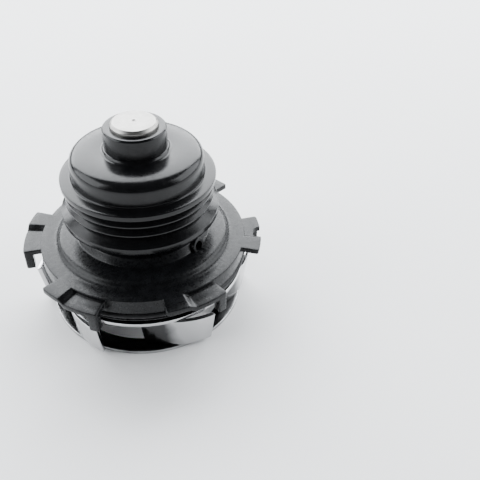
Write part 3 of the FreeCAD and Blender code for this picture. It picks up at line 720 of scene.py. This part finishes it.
    def drill_weep_hole(self, body, size):
        """Adds the collar on the bearing boss and drills the weep hole through it."""
        direction, fall = math.radians(self.weep_turn), math.radians(self.weep_fall)
        level = math.cos(fall)
        out = Vector((math.cos(direction) * level, math.sin(direction) * level, math.sin(fall)))
        reach = self.weep_out
        mouth = Vector((math.cos(direction) * reach, math.sin(direction) * reach, self.weep_height)) * MM
        turn = out.to_track_quat("Z", "Y").to_euler()
        for radius, inner, outer, action in (
            (size.weep + self.collar_wall * MM, -self.collar_depth, 0.0, "UNION"),
            (size.weep, -self.drill_depth, self.drill_spare, "DIFFERENCE"),
        ):
            clear_selection()
            centre = mouth + out * (inner + outer) / 2 * MM
            bpy.ops.mesh.primitive_cylinder_add(
                vertices=48, radius=radius, depth=(outer - inner) * MM, location=centre, rotation=turn)
            tool = bpy.context.object
            if action == "UNION":
                apply_modifier(tool, "BEVEL", width=0.3 * MM, segments=3, limit_method="ANGLE")
            clear_selection()
            body.select_set(True)
            apply_modifier(body, "BOOLEAN", object=tool, operation=action, solver="EXACT")
            bpy.data.objects.remove(tool)
        clear_selection()
        body.select_set(True)
        bpy.context.view_layer.objects.active = body
        bpy.ops.object.shade_smooth_by_angle(angle=math.radians(40))


class WATERPUMP_OT_oring(bpy.types.Operator):
    """Rubber O-ring in the groove of the skirt, with its mould line"""

    bl_idname = "water_pump.oring"
    bl_label = "O-ring"

    def execute(self, context):
        size = context.scene.pump_sizes
        look = context.scene.pump_finishes
        outer, low, high = span("housing_oring")
        section = (high - low) / 2
        middle = (low + high) / 2
        clear_selection()
        bpy.ops.mesh.primitive_torus_add(
            major_radius=(outer - section) * MM, minor_radius=section * MM,
            major_segments=SEGMENTS, minor_segments=24, location=(0, 0, middle * MM))
        ring = named(bpy.context.object, "skirt_oring")
        bpy.ops.object.transform_apply(location=True, rotation=True, scale=True)
        edit_only(ring, "VERT")
        pick("VERT", lambda vertex: abs(polar(vertex.co)[0] - outer) < 0.01)
        grow = 1 + size.flash / MM / outer
        bpy.ops.transform.resize(value=(grow, grow, 1), center_override=(0, 0, middle * MM))
        bpy.ops.object.mode_set(mode="OBJECT")
        clear_selection()
        ring.select_set(True)
        bpy.context.view_layer.objects.active = ring
        bpy.ops.object.shade_smooth_by_angle(angle=math.radians(50))
        settle(ring, rubber(look.rubber), "housing", "oring_rubber", "housing_oring")
        return {"FINISHED"}


class WATERPUMP_OT_impeller(bpy.types.Operator):
    """Impeller plate, ring and vanes in bright sheet steel"""

    bl_idname = "water_pump.impeller"
    bl_label = "Impeller"

    def execute(self, context):
        size = context.scene.pump_sizes
        look = context.scene.pump_finishes
        steel = sheet_steel(look.impeller_steel)
        hole = 11.0
        plate_radius, plate_low, plate_high = span("impeller_plate")
        middle = plate_radius * 0.7
        plate = turn_rings("impeller_back_plate", [
            (hole, plate_low), (middle, plate_low), (plate_radius, plate_low),
            (plate_radius, plate_high), (middle, plate_high), (hole, plate_high),
        ])
        settle(round_edges(plate, size.edge * 1.6), steel, "rotor", "impeller_steel", "impeller_plate")
        ring_radius, ring_low, ring_high = span("impeller_ring")
        eye = 30.0
        ring = turn_rings("impeller_eye_ring", [
            (eye, ring_low), (ring_radius, ring_low), (ring_radius, ring_high), (eye, ring_high),
        ])
        settle(round_edges(ring, size.edge * 1.6), steel, "rotor", "impeller_steel", "impeller_ring")
        for number in range(1, 7):
            node = f"impeller_vane_{number}"
            vane = round_edges(copy_of_node(node, f"swept_vane_{number}"), size.edge, angle=40)
            settle(vane, steel, "rotor", "impeller_steel", node)
        frame["nodes"]["impeller_hub"].data.materials.clear()
        frame["nodes"]["impeller_hub"].data.materials.append(steel)
        return {"FINISHED"}


class WATERPUMP_OT_inner_parts(bpy.types.Operator):
    """Finishes of the bearing and the face seal, and copies of the two sprung seal parts"""

    bl_idname = "water_pump.inner_parts"
    bl_label = "Bearing and seal"

    travel = 0.8

    def execute(self, context):
        look = context.scene.pump_finishes
        steel = bearing_steel()
        cage = nylon()
        lip = rubber(look.rubber)
        brass = pressed_brass(look.brass)
        finishes = {
            "bearing_outer_ring": steel,
            "ball_cage": cage,
            "roller_cage": cage,
            "bearing_seal_upper": lip,
            "bearing_seal_lower": lip,
            "mating_ring_boot": lip,
            "seal_cup": brass,
            "seal_retainer": brass,
            "mating_ring": lapped("Seal ceramic", (0.82, 0.8, 0.74), 0.1, 0.2),
            "carbon_ring": lapped("Seal carbon", (0.03, 0.03, 0.033), 0.3, 0.42),
            "slinger": drawn_wire("Slinger plate", (0.58, 0.59, 0.62)),
        }
        for name, node in frame["nodes"].items():
            if name.startswith(("bearing_ball_", "bearing_roller_")):
                finishes[name] = steel
            if name in finishes:
                node.data.materials.clear()
                node.data.materials.append(finishes[name])
        wire = drawn_wire("Spring wire", (0.55, 0.55, 0.57))
        self.sprung("seal_spring", "seal_coil", wire, "spring_steel")
        self.sprung("seal_bellows", "seal_fold", lip, "seal_rubber")
        return {"FINISHED"}

    def sprung(self, node, name, finish, slot):
        """Copy of a sprung part with its finish, on the body of its CAD node, which it hides."""
        piece = copy_of_node(node, name)
        bpy.context.view_layer.objects.active = piece
        bpy.ops.object.shade_smooth_by_angle(angle=math.radians(40))
        settle(piece, finish, body_of(frame["nodes"][node])[0], slot, node)
        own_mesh(piece)


class WATERPUMP_OT_stage(bpy.types.Operator):
    """Pale floor, soft light from behind and from both sides, and the camera"""

    bl_idname = "water_pump.stage"
    bl_label = "Studio"

    def execute(self, context):
        stage = context.scene.pump_stage
        clear_selection()
        bpy.ops.mesh.primitive_plane_add(size=stage.floor_size, location=(0, 0, 0))
        floor = named(bpy.context.object, "studio_floor")
        pale = Finish("Studio floor", (0.93, 0.93, 0.93), 0.0, 0.9)
        pale.shader.inputs["Specular IOR Level"].default_value = 0.1
        floor.data.materials.append(pale.material)
        self.softbox("back_softbox", Vector((0.0, 0.62, 0.6)), (1.5, 0.85), 0, stage.back_light)
        self.softbox("left_softbox", Vector((-0.75, 0.05, 0.5)), (0.8, 0.8), 90, stage.side_light)
        self.softbox("right_softbox", Vector((0.75, 0.05, 0.5)), (0.8, 0.8), -90, stage.side_light)
        world = bpy.data.worlds.new("Studio room")
        world.use_nodes = True
        world.node_tree.nodes["Background"].inputs["Color"].default_value = (0.93, 0.96, 1.0, 1)
        world.node_tree.nodes["Background"].inputs["Strength"].default_value = stage.room
        context.scene.world = world
        yaw, pitch, roll = stage.camera_turn
        reach = math.cos(pitch)
        ahead = Vector((math.sin(yaw) * reach, math.cos(yaw) * reach, -math.sin(pitch)))
        level = Vector((math.cos(yaw), -math.sin(yaw), 0))
        above = level.cross(ahead)
        right = math.cos(roll) * level + math.sin(roll) * above
        up = -math.sin(roll) * level + math.cos(roll) * above
        data = bpy.data.cameras.new("pump_camera")
        data.lens = stage.lens
        data.sensor_width = 36
        camera = bpy.data.objects.new("pump_camera", data)
        context.scene.collection.objects.link(camera)
        turn = Matrix((right, up, -ahead)).transposed().to_4x4()
        camera.matrix_world = Matrix.Translation(Vector(stage.camera_place)) @ turn
        context.scene.camera = camera
        return {"FINISHED"}

    @staticmethod
    def softbox(name, place, size, turn, power):
        """Upright rectangular area light, facing -Y and then turned about Z by the given degrees."""
        data = bpy.data.lights.new(name, "AREA")
        data.shape = "RECTANGLE"
        data.size, data.size_y = size
        data.energy = power
        data.color = (0.94, 0.97, 1.0)
        light = bpy.data.objects.new(name, data)
        light.location = place
        light.rotation_euler = (math.radians(-90), 0, math.radians(turn))
        bpy.context.scene.collection.objects.link(light)


class WATERPUMP_PT_panel(bpy.types.Panel):
    """Sidebar panel that lists the pump's pieces and settings"""

    bl_idname = "WATERPUMP_PT_panel"
    bl_label = "Water Pump"
    bl_space_type = "VIEW_3D"
    bl_region_type = "UI"
    bl_category = "Water Pump"

    def draw(self, context):
        layout = self.layout
        for operator in OPERATORS:
            layout.operator(operator.bl_idname)
        for group in (context.scene.pump_sizes, context.scene.pump_finishes, context.scene.pump_stage):
            box = layout.box()
            for name in group.__annotations__:
                box.prop(group, name)


OPERATORS = (
    WATERPUMP_OT_shaft,
    WATERPUMP_OT_pulley,
    WATERPUMP_OT_casting,
    WATERPUMP_OT_oring,
    WATERPUMP_OT_impeller,
    WATERPUMP_OT_inner_parts,
    WATERPUMP_OT_stage,
)
GROUPS = {"pump_sizes": PumpSizes, "pump_finishes": PumpFinishes, "pump_stage": PumpStage}
CLASSES = (*GROUPS.values(), *OPERATORS, WATERPUMP_PT_panel)


def register():
    for item in CLASSES:
        bpy.utils.register_class(item)
    for name, group in GROUPS.items():
        setattr(bpy.types.Scene, name, PointerProperty(type=group))


def unregister():
    for name in GROUPS:
        delattr(bpy.types.Scene, name)
    for item in reversed(CLASSES):
        bpy.utils.unregister_class(item)


def main():
    """Builds every piece in order."""
    register()
    for operator in OPERATORS:
        group, action = operator.bl_idname.split(".")
        getattr(getattr(bpy.ops, group), action)()


if __name__ == "__main__":
    main()
